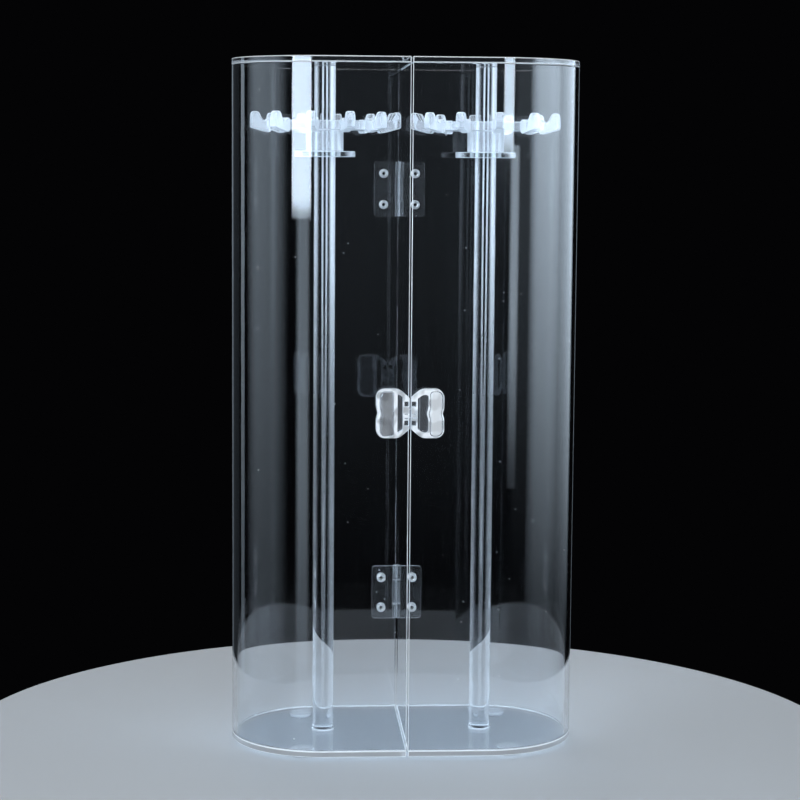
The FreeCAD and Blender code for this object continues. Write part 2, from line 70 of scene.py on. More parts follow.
camera_data = bpy.data.cameras.new("camera")
camera_data.sensor_width = 36.0
camera_data.lens = CAMERA_LENS
camera_data.clip_start = 0.05
camera_data.clip_end = 30.0
camera = bpy.data.objects.new("camera", camera_data)
scene.collection.objects.link(camera)
camera.matrix_world = (
    Matrix.Translation(CAMERA_PLACE)
    @ Matrix.Rotation(-CAMERA_YAW, 4, "Z")
    @ Matrix.Rotation(math.radians(90) - CAMERA_PITCH, 4, "X")
    @ Matrix.Rotation(CAMERA_ROLL, 4, "Z")
)
scene.camera = camera
scene.view_settings.view_transform = "Standard"
print("camera looks along", list(-camera.matrix_world.col[2].xyz))

# %% [markdown]
# ## Sums made of nodes
#
# A finish is a small net of nodes. Adding each Math node by hand hides the sum that it makes, so a `Value`
# wraps a socket and lets an ordinary Python expression add the nodes. `Recipe.node` makes any other
# node: its kind, then its settings, then what goes into its sockets. Three short helpers stand for the
# nodes that come back most often.

# %% Values and recipes
class Value:
    """A number on its way through the nodes."""

    def __init__(self, recipe, socket):
        self.recipe = recipe
        self.socket = socket

    def maths(self, operation, first, second):
        """One Math node."""
        return self.recipe.node("ShaderNodeMath", {"operation": operation}, {0: first, 1: second})

    def __add__(self, other):
        return self.maths("ADD", self, other)

    def __sub__(self, other):
        return self.maths("SUBTRACT", self, other)

    def __rsub__(self, other):
        return self.maths("SUBTRACT", other, self)

    def __mul__(self, other):
        return self.maths("MULTIPLY", self, other)

    def __gt__(self, other):
        return self.maths("GREATER_THAN", self, other)

    def __lt__(self, other):
        return self.maths("LESS_THAN", self, other)

    __radd__ = __add__
    __rmul__ = __mul__


class Recipe:
    """The nodes of one finish."""

    def __init__(self, tree):
        self.tree = tree
        tree.nodes.clear()

    def node(self, kind, settings=None, inputs=None, output=0):
        """Any node, with its settings made first; the answer is one of its outputs."""
        made = self.tree.nodes.new(kind)
        for name, setting in (settings or {}).items():
            setattr(made, name, setting)
        for name, given in (inputs or {}).items():
            if isinstance(given, Value):
                self.tree.links.new(given.socket, made.inputs[name])
            else:
                made.inputs[name].default_value = given
        return Value(self, made.outputs[output]) if len(made.outputs) else None


def part_of(recipe, vector, axis):
    """A vector's X, Y or Z."""
    return recipe.node("ShaderNodeSeparateXYZ", {}, {"Vector": vector}, output=axis)


def soft_step(recipe, value, start, end, low, high):
    """From low to high while a value goes from start to end, with soft ends."""
    return recipe.node(
        "ShaderNodeMapRange",
        {"interpolation_type": "SMOOTHSTEP"},
        {"Value": value, "From Min": start, "From Max": end, "To Min": low, "To Max": high},
    )


def noise(recipe, place, scale, detail, roughness=0.5):
    """Cloudy pattern round a half."""
    inputs = {"Vector": place, "Scale": scale, "Detail": detail, "Roughness": roughness}
    return recipe.node("ShaderNodeTexNoise", {}, inputs)


def new_material(name):
    """Material and the empty recipe of its nodes."""
    material = bpy.data.materials.new(name)
    material.use_nodes = True
    return material, Recipe(material.node_tree)


# %% [markdown]
# ## Studio
#
# Clear plastic has hardly any colour of its own. It shows what stands around it: a dark room behind, and
# the pale shapes of the lamps in its curved walls. So the room is a plain dark grey wherever a ray looks
# straight at it, off a gloss or through the plastic, and a soft even light for everything that is matt.

# %% Room
ROOM_SEEN = (0.0012, 0.0012, 0.0015, 1.0)
ROOM_LIGHT = (0.93, 0.96, 1.0, 1.0)
ROOM_LEVEL = 0.36

world = bpy.data.worlds.new("studio")
world.use_nodes = True
scene.world = world
room = Recipe(world.node_tree)
looks_at_room = (
    room.node("ShaderNodeLightPath", output="Is Camera Ray")
    + room.node("ShaderNodeLightPath", output="Is Glossy Ray")
    + room.node("ShaderNodeLightPath", output="Is Transmission Ray")
) > 0.5
soft_light = room.node("ShaderNodeBackground", {}, {"Color": ROOM_LIGHT, "Strength": ROOM_LEVEL})
dark_room = room.node("ShaderNodeBackground", {}, {"Color": ROOM_SEEN, "Strength": 1.0})
room_light = room.node("ShaderNodeMixShader", {}, {0: looks_at_room, 1: soft_light, 2: dark_room})
room.node("ShaderNodeOutputWorld", {}, {"Surface": room_light})
print("room level for matt surfaces:", ROOM_LEVEL)

# %% [markdown]
# ## Lamps
#
# Each lamp is a flat softbox that faces the case. The angle of an upright one is counted round the case
# from its front, to the right, because that says where its reflection falls on a round wall: a broad
# band for a wide box, a streak for a narrow one. It grows brighter from its foot upwards and fades
# towards its sides, as real softboxes do. It isn't seen through the plastic, so that no lamp stands
# behind the case in another view, and it gives reflections only. The edge light does the opposite: it
# lights what is matt, such as the floor and the pale edges. Two more softboxes hang over the case.

# %% Softboxes
CASE_MIDDLE = Vector((0.0, 0.0, 170.0)) * MM
LEVEL_TO_WATTS = math.pi
COOL_WHITE = (0.69, 0.84, 1.0)
PLAIN_WHITE = (0.88, 0.94, 1.0)
TALL = (-0.4, 1.1)


def area_lamp(name, place, back, width, height, level):
    """Area lamp at a place, with its back along a vector; gives back the lamp and its object."""
    lamp = bpy.data.lights.new(name, "AREA")
    lamp.shape = "RECTANGLE"
    lamp.size = width
    lamp.size_y = height
    lamp.energy = level * width * height * LEVEL_TO_WATTS
    box = bpy.data.objects.new(name, lamp)
    scene.collection.objects.link(box)
    box.matrix_world = Matrix.Translation(place) @ back.to_track_quat("Z", "Y").to_matrix().to_4x4()
    return lamp, box


def softbox(name, turn, away, heights, width, level, foot=1.0, soft=0.1, rise=0.6, matt=False):
    """Upright softbox some degrees round the case and some way off, with a level at its brightest.

    The foot has a share of that level and the lamp reaches it over a share of its height, the rise. Its
    sides fade over a share of its width. A matt lamp lights matt surfaces in place of glossy ones.
    """
    low, high = heights
    angle = math.radians(turn)
    outwards = Vector((math.sin(angle) * away, -math.cos(angle) * away, 0.0))
    place = outwards + Vector((0.0, 0.0, (low + high) / 2))
    lamp, box = area_lamp(name, place, outwards, width, high - low, level)
    lamp.color = PLAIN_WHITE if matt else COOL_WHITE
    lamp.use_nodes = True
    glow = Recipe(lamp.node_tree)
    height = part_of(glow, glow.node("ShaderNodeNewGeometry", output="Position"), "Z")
    rising = soft_step(glow, height, low, low + rise * (high - low), foot, 1.0)
    across = part_of(glow, glow.node("ShaderNodeNewGeometry", output="Parametric"), "X")
    from_side = 0.5 - glow.node("ShaderNodeMath", {"operation": "ABSOLUTE"}, {0: across - 0.5})
    sides = soft_step(glow, from_side, 0.0, soft, 0.0, 1.0)
    light = glow.node("ShaderNodeEmission", {}, {"Strength": rising * sides})
    glow.node("ShaderNodeOutputLight", {}, {"Surface": light})
    box.visible_transmission = False
    box.visible_diffuse = matt
    box.visible_glossy = not matt


# Name, degrees to the right, distance, lowest and highest point, width, level
softbox("key_box", -31, 1.6, (0.222, 0.75), 0.7, 26.0, foot=0.2, soft=0.06, rise=0.05)
softbox("key_foot", -29, 1.6, (-0.35, 0.24), 0.55, 3.8, foot=0.3, soft=0.3)
softbox("right_streak", 23.5, 1.6, (0.3, 0.42), 0.42, 22.0, foot=0.5, soft=0.2, rise=0.2)
softbox("right_low_streak", 31.5, 1.6, (-0.1, 0.31), 0.42, 7.0, foot=0.1, soft=0.35)
softbox("right_dim_box", 43, 1.5, (-0.25, 0.85), 0.8, 1.0, foot=0.0, soft=0.3)
softbox("right_near_box", 74, 1.5, (-0.35, 0.85), 1.4, 13.0, foot=0.0, soft=0.3, rise=0.8)
softbox("right_far_box", 112, 1.5, (-0.35, 0.85), 1.4, 7.0, foot=0.0, soft=0.2, rise=0.8)
softbox("right_outline", 163, 1.5, TALL, 0.3, 0.4, foot=0.4)
softbox("left_line", -121, 1.5, TALL, 0.24, 2.3, foot=0.25)
softbox("left_box", -79, 1.5, TALL, 2.0, 3.2, foot=0.15, soft=0.35)
softbox("left_back_box", -143, 1.5, TALL, 0.75, 0.07)
softbox("left_outline", -160, 1.5, TALL, 0.3, 0.5, foot=0.4)
softbox("front_fill", 0, 2.2, (-0.45, 2.2), 3.6, 0.34, foot=0.0, soft=0.5, rise=0.3)
softbox("edge_light", -12, 1.8, (0.0, 1.2), 1.6, 4.2, matt=True)
for name, place, size in (("top_softbox", (0.1, 0.1, 1.5), 1.1), ("back_softbox", (-0.3, 1.3, 1.3), 0.9)):
    area_lamp(name, Vector(place), Vector(place) - CASE_MIDDLE, size, size, level=1.3)

# %% [markdown]
# ## Floor
#
# The case stands on a plain pale round slab, larger than the case, so that its shadow and its reflections
# have somewhere to fall. It ends a little behind the case, because clear plastic shows its edges best
# against the dark room. The slab is a `create_cone` with equal radii and a rounded rim.

# %% Floor
FLOOR_RADIUS = 230 * MM
FLOOR_THICKNESS = 12 * MM
FLOOR_ROUNDING = 3 * MM
FLOOR_GREY = (0.5, 0.53, 0.56, 1.0)


def object_from(bm, name, materials=()):
    """Mesh object with its place in its mesh, at the origin, unturned and unscaled."""
    mesh = bpy.data.meshes.new(name)
    bm.to_mesh(mesh)
    bm.free()
    for material in materials:
        mesh.materials.append(material)
    made = bpy.data.objects.new(name, mesh)
    scene.collection.objects.link(made)
    return made


def rod(bm, radius, low, high, segments):
    """Upright cylinder about the Z axis; gives back its vertices."""
    middle = Matrix.Translation((0, 0, (low + high) / 2))
    made = bmesh.ops.create_cone(
        bm, cap_ends=True, segments=segments, radius1=radius, radius2=radius, depth=high - low, matrix=middle
    )
    return made["verts"]


def round_edges(bm, edges, width, segments):
    """Round chosen edges of a mesh; gives back the new faces."""
    rounded = bmesh.ops.bevel(
        bm, geom=edges, offset=width, offset_type="OFFSET", segments=segments, profile=0.5,
        affect="EDGES", clamp_overlap=True, material=-1,
    )
    return rounded["faces"]


slab = bmesh.new()
rod(slab, FLOOR_RADIUS, -FLOOR_THICKNESS, 0.0, segments=192)
slab_rims = [edge for edge in slab.edges if edge.verts[0].co.z == edge.verts[1].co.z]
round_edges(slab, slab_rims, FLOOR_ROUNDING, segments=4)
floor = object_from(slab, "floor")
floor.data.set_sharp_from_angle(angle=math.radians(40))
for face in floor.data.polygons:
    face.use_smooth = True
floor_paint, paint = new_material("pale_floor")
matt_skin = paint.node(
    "ShaderNodeBsdfPrincipled", {}, {"Base Color": FLOOR_GREY, "Roughness": 0.6, "Specular IOR Level": 0.3}
)
paint.node("ShaderNodeOutputMaterial", {}, {"Surface": matt_skin})
floor.data.materials.append(floor_paint)
print("floor radius:", FLOOR_RADIUS)

# %% [markdown]
# ## Clear acrylic
#
# Acrylic bends light with an index of 1.49. In daily use it gathers hairline scratches from wiping,
# specks of dust and faint smears, which show where a lamp glances off the sheet. Each of these is one
# small pattern on Object coordinates: a stretched noise for the hairlines, cells for the specks and a
# slow noise for the smears. They feed the roughness and a very small bump.
#
# A lamp can't shine through glass by itself in a path tracer without a lot of noise. So the shader lets
# shadow rays pass as if the sheet were a faint filter, and everything else meets true clear plastic.

# %% Patterns in the plastic
STRETCH = 0.012
CREST_START = 0.66
CREST_TOP = 0.74


def hairlines(recipe, place, turn, fineness):
    """Fine scratches that all run one way: 0 almost everywhere, 1 on a scratch."""
    stretched = recipe.node(
        "ShaderNodeMapping",
        {},
        {"Vector": place, "Rotation": turn, "Scale": (fineness, fineness, fineness * STRETCH)},
    )
    cloud = noise(recipe, stretched, scale=1.0, detail=2.0)
    return recipe.node(
        "ShaderNodeMapRange", {}, {"Value": cloud, "From Min": CREST_START, "From Max": CREST_TOP}
    )


def specks(recipe, place, spacing, size, share):
    """Dust: a round speck in some cells of a loose grid."""
    settings = {"feature": "F1", "voronoi_dimensions": "3D"}
    inputs = {"Vector": place, "Scale": 1.0 / spacing, "Randomness": 1.0}
    near = recipe.node("ShaderNodeTexVoronoi", settings, inputs, output="Distance")
    cell = recipe.node("ShaderNodeTexVoronoi", settings, inputs, output="Color")
    chance = recipe.node("ShaderNodeSeparateColor", {}, {"Color": cell}, output=0)
    return (near < chance * (size / spacing)) * (chance > 1.0 - share)


print("crests that count as scratches:", CREST_START, "to", CREST_TOP)

# %% [markdown]
# ## Where clear plastic looks pale
#
# Light that has entered a sheet or a moulding runs along inside it and comes out where the skin is cut,
# bent or thick, and there clear plastic looks pale. A path tracer finds that light only after very many
# rays. So a share of a pale skin is mixed in at those places, and each of these functions says how large
# the share is: by how far the skin turns away, by which side of a cut edge is seen, or in soft patches.

# %% Pale shares
RIM_WIDTH = 0.35
PATCH_SCALE = 200.0
PATCH_START = 0.36
PATCH_END = 0.56


def facing_away(recipe):
    """0 where the skin faces the eye, towards 1 where it turns away."""
    return recipe.node("ShaderNodeLayerWeight", {}, {"Blend": 0.5}, output="Facing")


def rims(strength, start):
    """Pale where the skin turns away from the eye, as a moulded edge gathers light."""

    def share(recipe, place):
        return soft_step(recipe, facing_away(recipe), start, start + RIM_WIDTH, 0.0, strength)

    return share


def cut_edge(outside, inside):
    """Pale on a cut edge, as painted light: strong where the edge is seen from outside, fainter where it is
    seen through the sheet.
    """

    def share(recipe, place):
        through = recipe.node("ShaderNodeNewGeometry", output="Backfacing")
        return outside - through * (outside - inside)

    return share


def patches(low, high):
    """Pale in soft patches, as a thick moulding gathers light unevenly."""

    def share(recipe, place):
        cloud = noise(recipe, place, PATCH_SCALE, detail=0.0)
        return soft_step(recipe, cloud, PATCH_START, PATCH_END, low, high)

    return share


print("patches across a metre:", PATCH_SCALE)

# %% [markdown]
# ## One recipe for every clear finish
#
# Sheet, rod and mouldings differ in tint, clearness, polish and wear, and in where they look pale. One
# function takes these as its arguments, so the finishes can be compared line by line. Shade is the share
# of a lamp's light that the filter for shadow rays lets through.

# %% Clear finishes
ACRYLIC_INDEX = 1.49
MILKY_BLUE = (0.92, 0.96, 1.0)
EDGE_BLUE = (0.9, 0.95, 1.0)
MOULDED_BLUE = (0.95, 0.97, 1.0)
SMEAR_MATT = 0.03
SCRATCH_MATT = 0.06
DUST_MATT = 0.4
SCRATCH_DEPTH = 0.02


def clear_plastic(name, tint=(0.96, 0.98, 1.0), clearness=1.0, polish=0.01, wear=1.0, shade=0.93, pale=None):
    """Clear plastic: its tint, how clear, how smooth and how worn it is, and where it looks pale."""
    material, recipe = new_material(name)
    place = recipe.node("ShaderNodeTexCoord", output="Object")
    one_way = hairlines(recipe, place, turn=(0.5, 0.25, 0.3), fineness=2600.0)
    other_way = hairlines(recipe, place, turn=(-0.7, 0.4, -0.2), fineness=2100.0)
    scratches = one_way + other_way
    dust = specks(recipe, place, spacing=9 * MM, size=0.35 * MM, share=0.35)
    smears = noise(recipe, place, scale=34.0, detail=3.0, roughness=0.6)
    swell = noise(recipe, place, scale=22.0, detail=1.0, roughness=0.4)
    relief = recipe.node(
        "ShaderNodeBump",
        {},
        {"Height": swell - scratches * SCRATCH_DEPTH, "Strength": 0.35 * wear, "Distance": 0.12 * MM},
    )
    marks = smears * smears * SMEAR_MATT + scratches * SCRATCH_MATT + dust * DUST_MATT
    skin = recipe.node(
        "ShaderNodeBsdfPrincipled",
        {},
        {
            "Base Color": (*tint, 1.0),
            "Roughness": polish + marks * wear,
            "IOR": ACRYLIC_INDEX,
            "Transmission Weight": clearness,
            "Normal": relief,
        },
    )
    if pale:
        pale_skin = recipe.node(
            "ShaderNodeBsdfPrincipled", {}, {"Base Color": (*MILKY_BLUE, 1.0), "Roughness": 0.3}
        )
        skin = recipe.node("ShaderNodeMixShader", {}, {0: pale(recipe, place), 1: skin, 2: pale_skin})
    filter_light = recipe.node("ShaderNodeBsdfTransparent", {}, {"Color": (shade, shade, shade, 1.0)})
    is_shadow = recipe.node("ShaderNodeLightPath", output="Is Shadow Ray")
    surface = recipe.node("ShaderNodeMixShader", {}, {0: is_shadow, 1: skin, 2: filter_light})
    recipe.node("ShaderNodeOutputMaterial", {}, {"Surface": surface})
    return material


sheet_clear = clear_plastic("clear_acrylic_sheet")
# Painted highlight on the rounded edges of sheet, for the light that the sheet gathers inside it
edge_highlight = clear_plastic(
    "polished_sheet_edge_painted_highlight", EDGE_BLUE, 0.98, polish=0.1, wear=0.6, shade=0.9, pale=cut_edge(0.8, 0.22)
)
# A sawn edge is cloudy of itself, and the share that changes with the side it is seen from is painted light
edge_soft = clear_plastic(
    "sawn_sheet_edge", EDGE_BLUE, 0.98, polish=0.15, wear=0.6, shade=0.9, pale=cut_edge(0.35, 0.2)
)
ring_clear = clear_plastic(
    "clear_acrylic_ring", (0.93, 0.97, 0.98), 0.97, polish=0.01, wear=0.7, shade=0.9, pale=rims(0.85, 0.2)
)
moulded_milky = clear_plastic(
    "moulded_styrene", MOULDED_BLUE, 0.85, polish=0.04, shade=0.85, pale=rims(0.8, 0.12)
)
moulded_clear = clear_plastic(
    "moulded_clear_plastic", MOULDED_BLUE, 0.97, polish=0.02, shade=0.9, pale=rims(0.9, 0.12)
)
# Painted light: the wings' rims and front faces are paler than the rest of the clear moulding
wing_painted_light = clear_plastic(
    "moulded_plastic_painted_light", MOULDED_BLUE, 0.95, polish=0.03, shade=0.9, pale=patches(0.45, 1.0)
)
# The two pads are one moulding: a copy with painted shade for the left pad and one with painted light for
# the right
pad_painted_shade = clear_plastic(
    "pad_plastic_painted_shade", (0.93, 0.95, 1.0), 0.9, polish=0.03, shade=0.85, pale=patches(0.04, 0.16)
)
pad_painted_light = clear_plastic(
    "pad_plastic_painted_light", (0.96, 0.98, 1.0), 0.5, polish=0.08, shade=0.85, pale=patches(0.25, 0.6)
)
leaf_clear = clear_plastic(
    "moulded_hinge_plastic", (0.96, 0.97, 0.98), 0.99, polish=0.01, wear=0.6, pale=rims(0.36, 0.4)
)
cement = clear_plastic("dried_cement", MILKY_BLUE, 0.45, polish=0.2, shade=0.85)
soft_plastic = clear_plastic("soft_bumper_plastic", MILKY_BLUE, 0.1, polish=0.18, shade=0.8)
print("finishes of the sheet:", sheet_clear.name, edge_highlight.name, edge_soft.name)

# %% [markdown]
# ## Nickel and steel
#
# The rivets are thin tube with a bright nickel skin, rolled over at both ends, so they carry small dents
# and brushed rings. The hinge pins are drawn steel wire with lines along their length. Both are metals
# whose roughness and bump vary, and nothing else about them has to.

# %% Metals
LINE_MATT = 0.14
LINE_DEPTH = 0.5
SPOT_MATT = 0.1
SPOT_SHADE = 0.86


def metal(name, colour, polish, turn, fineness):
    """Bare metal with fine lines along one direction and a few dull spots."""
    material, recipe = new_material(name)
    place = recipe.node("ShaderNodeTexCoord", output="Object")
    lines = hairlines(recipe, place, turn, fineness)
    spots = noise(recipe, place, scale=900.0, detail=2.0)
    roughness = polish + lines * LINE_MATT + spots * SPOT_MATT
    relief = recipe.node(
        "ShaderNodeBump",
        {},
        {"Height": spots - lines * LINE_DEPTH, "Strength": 0.3, "Distance": 0.05 * MM},
    )
    dull = [part * SPOT_SHADE for part in colour]
    tone = recipe.node(
        "ShaderNodeMix", {"data_type": "RGBA"}, {0: spots, 6: (*colour, 1.0), 7: (*dull, 1.0)}, output=2
    )
    skin = recipe.node(
        "ShaderNodeBsdfPrincipled",
        {},
        {"Base Color": tone, "Metallic": 1.0, "Roughness": roughness, "Normal": relief},
    )
    recipe.node("ShaderNodeOutputMaterial", {}, {"Surface": skin})
    return material


nickel = metal("nickel_plate", (0.9, 0.89, 0.87), polish=0.24, turn=(0.0, 1.2, 0.3), fineness=5000.0)
steel = metal("drawn_steel", (0.7, 0.7, 0.71), polish=0.18, turn=(0.0, 0.0, 0.0), fineness=6000.0)
print("metals:", nickel.name, steel.name)

# %% [markdown]
# ## Finishing a piece
#
# Every piece ends the same way. Its doubles are merged and its faces turned outwards, and its sharp edges
# get a small live Bevel. Its hardened normals keep the flat faces beside it optically flat, which matters
# because light is bent by the normals. A bevel takes the second finish of its piece where there is one.
# On sheet that is the finish of a polished edge with a painted highlight, which stands for the light
# that real sheet gathers inside it.

# %% Finishing
SIDES = {"left": -1, "right": 1}
HINGES = ("upper", "lower")
WELD = 0.002 * MM
SHEET = [sheet_clear, edge_highlight, edge_soft]
MOULDING = [moulded_clear, wing_painted_light, pad_painted_shade, pad_painted_light]
BRIGHT = 1
SAWN = 2


def clean(bm):
    """Merge doubles and turn the faces outwards."""
    bmesh.ops.remove_doubles(bm, verts=bm.verts, dist=WELD)
    bmesh.ops.recalc_face_normals(bm, faces=bm.faces)


def finish(bm, name, body, nodes, materials, rounding=0.3, steps=2, sharp=35):
    """Mesh to finished piece: it rides on a body and stands for its nodes.

    The rounding is in millimetres, and an edge is sharp from some degrees on.
    """
    clean(bm)
    piece = object_from(bm, name, materials)
    for face in piece.data.polygons:
        face.use_smooth = True
    piece.data.set_sharp_from_angle(angle=math.radians(sharp))
    if rounding:
        bevel = piece.modifiers.new("rounding", "BEVEL")
        bevel.width = rounding * MM
        bevel.segments = steps
        bevel.limit_method = "ANGLE"
        bevel.angle_limit = math.radians(sharp)
        # The bevel takes the second finish; on sheet, leaves, stopper rings and wings that one carries
        # painted light
        bevel.material = BRIGHT if len(materials) > 1 else -1
        bevel.harden_normals = True
    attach(piece, body)
    if nodes:
        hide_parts(*nodes)
    return piece


def profile(bm, points):
    """Vertices and edges through points of (radius, height), closed unless they start on the axis."""
    row = [bm.verts.new((radius, 0, height)) for radius, height in points]
    edges = [bm.edges.new(pair) for pair in zip(row, row[1:])]
    if points[0][0] > 0:
        edges.append(bm.edges.new((row[-1], row[0])))
    return [*row, *edges]


def spin(bm, geometry, centre, angle, steps, merge=False):
    """Sweep geometry round an upright axis; gives back what it ends on."""
    swept = bmesh.ops.spin(
        bm, geom=geometry, cent=centre, axis=(0, 0, 1), angle=angle, steps=steps, use_merge=merge
    )
    return swept["geom_last"]


def extrude_faces(bm, faces, keep=False):
    """Extrude a region of faces; gives back the new faces and their vertices.

    The operator leaves the old faces inside the mesh, so they go, unless they are its first end.
    """
    grown = bmesh.ops.extrude_face_region(bm, geom=faces)["geom"]
    if not keep:
        bmesh.ops.delete(bm, geom=faces, context="FACES")
    new_faces = [item for item in grown if isinstance(item, bmesh.types.BMFace)]
    new_verts = [item for item in grown if isinstance(item, bmesh.types.BMVert)]
    return new_faces, new_verts


def draw_out(bm, faces, way, keep=False):
    """Extrude faces some way; gives back the faces that they end on."""
    ends, verts = extrude_faces(bm, faces, keep)
    bmesh.ops.translate(bm, verts=verts, vec=way)
    return ends


def bend_faces(bm, faces, centre, angle, steps):
    """Draw faces round an upright axis; gives back the faces that they end on."""
    last = spin(bm, faces, centre, angle, steps)
    bmesh.ops.delete(bm, geom=faces, context="FACES_ONLY")
    return [item for item in last if isinstance(item, bmesh.types.BMFace)]


def cut(piece, cutter, operation="DIFFERENCE"):
    """Cut one object with another, or join them, into one closed mesh."""
    boolean = piece.modifiers.new("cut", "BOOLEAN")
    boolean.object = cutter
    boolean.operation = operation
    boolean.solver = "EXACT"
    bpy.context.view_layer.update()
    solved = piece.evaluated_get(bpy.context.evaluated_depsgraph_get())
    piece.modifiers.remove(boolean)
    mesh = bpy.data.meshes.new_from_object(solved)
    bpy.data.objects.remove(cutter)
    bm = bmesh.new()
    bm.from_mesh(mesh)
    bpy.data.meshes.remove(mesh)
    bpy.data.objects.remove(piece)
    return bm


print("finishes of sheet and moulding:", len(SHEET), len(MOULDING))

# %% [markdown]
# ## Walls
#
# Each wall is one sheet, bent to a D round its post and open at the seam. The straightest way to bend a
# sheet in a mesh is the real one: begin with the cut end of the sheet, a tall thin face, draw it out
# along the front, `spin` it half way round the post, and draw it out again along the back. The rivet
# holes are drilled afterwards with a Boolean, and a hair's breadth of air is left above and below, where
# the sheet stands on the floor and carries the lid. Its seam edges and its foot are polished, and their
# rounded edges carry a painted highlight. Its upper end, which is cemented under the lid, and the inner
# edges behind the hinges stay clear, without that highlight.

# %% Wall sizes from the frame
wall_low, wall_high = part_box("right_wall")
OUTER_RADIUS = wall_high.y
WALL_THICKNESS = 2.5 * MM
SEAM = wall_low.x
POST_LINE = wall_high.x - OUTER_RADIUS
AIR = 0.02 * MM
BEND_STEPS = 80
WALL_ROUNDING = 0.3 * MM
NEAR_EDGE = 0.5 * MM
SHANK = 1.4 * MM
RIVET_LINE = 8.2 * MM
RIVET_RISE = 8.0 * MM
LIE_DOWN = Matrix.Rotation(math.radians(-90), 4, "X")
hinge_middle = {hinge: sum(corner.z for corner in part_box(f"{hinge}_hinge_pin")) / 2 for hinge in HINGES}
print("post line", POST_LINE, "seam", SEAM, "hinge middles", hinge_middle)


# %% Walls
def drills(side, radius, low_y, high_y, hinges):
    """Rods along Y, one above the other, that drill the rivet holes."""
    bm = bmesh.new()
    for hinge in hinges:
        for way in (-1, 1):
            hole = rod(bm, radius, low_y, high_y, segments=32)
            middle = (SIDES[side] * RIVET_LINE, 0.0, hinge_middle[hinge] + way * RIVET_RISE)
            bmesh.ops.transform(bm, verts=hole, matrix=Matrix.Translation(middle) @ LIE_DOWN)
    return object_from(bm, "drills")


def make_wall(side):
    """D-shaped wall of one half."""
    turn = SIDES[side]
    bm = bmesh.new()
    low, high = wall_low.z + AIR, wall_high.z - AIR
    inside = OUTER_RADIUS - WALL_THICKNESS
    corners = [(-OUTER_RADIUS, low), (-inside, low), (-inside, high), (-OUTER_RADIUS, high)]
    end = bm.faces.new([bm.verts.new((turn * SEAM, y, z)) for y, z in corners])
    faces = draw_out(bm, [end], (turn * (POST_LINE - SEAM), 0, 0), keep=True)
    faces = bend_faces(bm, faces, (turn * POST_LINE, 0, 0), turn * math.pi, BEND_STEPS)
    draw_out(bm, faces, (turn * (SEAM - POST_LINE), 0, 0))
    clean(bm)
    square_edges = [edge for edge in bm.edges if edge.calc_face_angle(0.0) > math.radians(60)]
    for face in round_edges(bm, square_edges, WALL_ROUNDING, segments=2):
        centre = face.calc_center_median()
        at_seam = abs(centre.x) < SEAM + NEAR_EDGE
        inner_back = 0 < centre.y < inside + NEAR_EDGE
        at_foot = centre.z < low + MM
        # Painted highlight: the rounded seam edges, apart from the inner back ones, and the foot take the
        # edge finish
        face.material_index = BRIGHT * int((at_seam and not inner_back) or at_foot)
    blank = object_from(bm, "blank", SHEET)
    drilled = cut(blank, drills(side, SHANK + AIR, inside - MM, OUTER_RADIUS + MM, HINGES))
    return finish(
        drilled, f"{side}_case_wall", f"{side}_case", [f"{side}_wall"], SHEET, 0, sharp=20
    )


walls = [make_wall(side) for side in SIDES]
print("wall faces:", [len(wall.data.polygons) for wall in walls])

# %% [markdown]
# ## Floor and lid
#
# The plates have the same D plan as the walls, flush with them. One edge is enough to begin: it runs
# along the front, its end is spun round the post line, and two more edges close the outline, which becomes
# a face that is drawn up to the thickness of the sheet. The floor's sawn edge is a little cloudy between
# its two rounded rims, and the rims of both plates carry a painted highlight; the lid's edge is clear.

# %% Plates
def half_plan(bm, side, height):
    """Closed D-shaped outline at a height, as one face."""
    turn = SIDES[side]
    start = bm.verts.new((turn * SEAM, -OUTER_RADIUS, height))
    front = bm.verts.new((turn * POST_LINE, -OUTER_RADIUS, height))
    bm.edges.new((start, front))
    spin(bm, [front], (turn * POST_LINE, 0, 0), turn * math.pi, BEND_STEPS)
    bm.verts.ensure_lookup_table()
    back = max(bm.verts, key=lambda vert: (vert.co.y, -abs(vert.co.x)))
    end = bm.verts.new((turn * SEAM, OUTER_RADIUS, height))
    bm.edges.new((back, end))
    bm.edges.new((end, start))
    return bmesh.ops.contextual_create(bm, geom=bm.edges)["faces"]


def make_plate(side, level):
    """Floor or lid of one half."""
    node = f"{side}_{level}_plate"
    low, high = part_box(node)
    bm = bmesh.new()
    plan = half_plan(bm, side, low.z)
    draw_out(bm, plan, (0, 0, high.z - low.z), keep=True)
    if level == "bottom":
        for face in bm.faces:
            upright = abs(face.normal.z) < 0.5
            face.material_index = SAWN * int(upright)
    name = f"{side}_{level}_sheet"
    # Its rounded edges take the polished edge finish with a painted highlight
    return finish(bm, name, f"{side}_case", [node], SHEET, rounding=0.45, steps=3)


plates = [make_plate(side, level) for side in SIDES for level in ("bottom", "top")]
print("plate faces:", [len(plate.data.polygons) for plate in plates])

# %% [markdown]
# ## Posts
#
# A post is a length of solid rod between floor and lid. It works as a lens, so it has to be round and
# smooth. Light comes in at its top, runs down inside it and leaves at its rims. That light is painted on
# as pale rims, paler near the top and wider on the right side of each post, as if lit from the right, with
# two thin painted highlight lines near the middle. At its foot the cement has crept up as a bright ring,
# a separate small piece made by spinning its hollow profile.

# %% Finish of the posts
POST_RADIUS = 5.25 * MM
RIM_START = 0.12
RIM_LEVEL = 0.95
RIGHT_LIGHT_WIDENING = 0.28
HIGHLIGHT_LINE_START = 0.006
HIGHLIGHT_LINE_END = 0.018
HIGHLIGHT_LINE_LEVEL = 0.55
DIM_BELOW = 0.15
BRIGHT_FROM = 0.32
LOW_LIGHT = 0.2
TOP_LIGHT = 1.25


